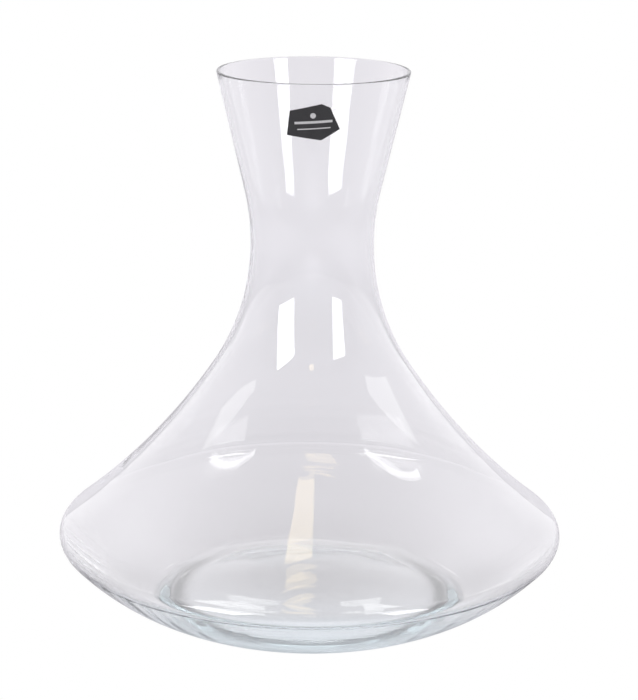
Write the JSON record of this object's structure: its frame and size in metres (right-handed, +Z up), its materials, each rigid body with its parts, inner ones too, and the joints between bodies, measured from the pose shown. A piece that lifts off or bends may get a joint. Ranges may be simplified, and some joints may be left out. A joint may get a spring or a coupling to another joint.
{
  "type": "wine decanter",
  "caption": "Clear glass wine decanter with a wide, sharp-edged body, a narrow throat, a flared open neck and a small dark label.",
  "frame": {"origin": "centre of the flat ring that the decanter stands on", "axes": "+Z up along the axis of the vessel, out of the mouth; -Y towards the label"},
  "size_m": [0.21, 0.21, 0.225],
  "materials": {
    "clear_glass": "clear, fire-polished",
    "clear_adhesive": "clear, soft",
    "black_label_film": "matt, fine grain",
    "white_label_ink": "matt printed ink"
  },
  "bodies": {
    "root": {"glass_body": "clear_glass", "label_adhesive": "clear_adhesive", "label_film": "black_label_film", "label_print": "white_label_ink"}
  },
  "joints": []
}
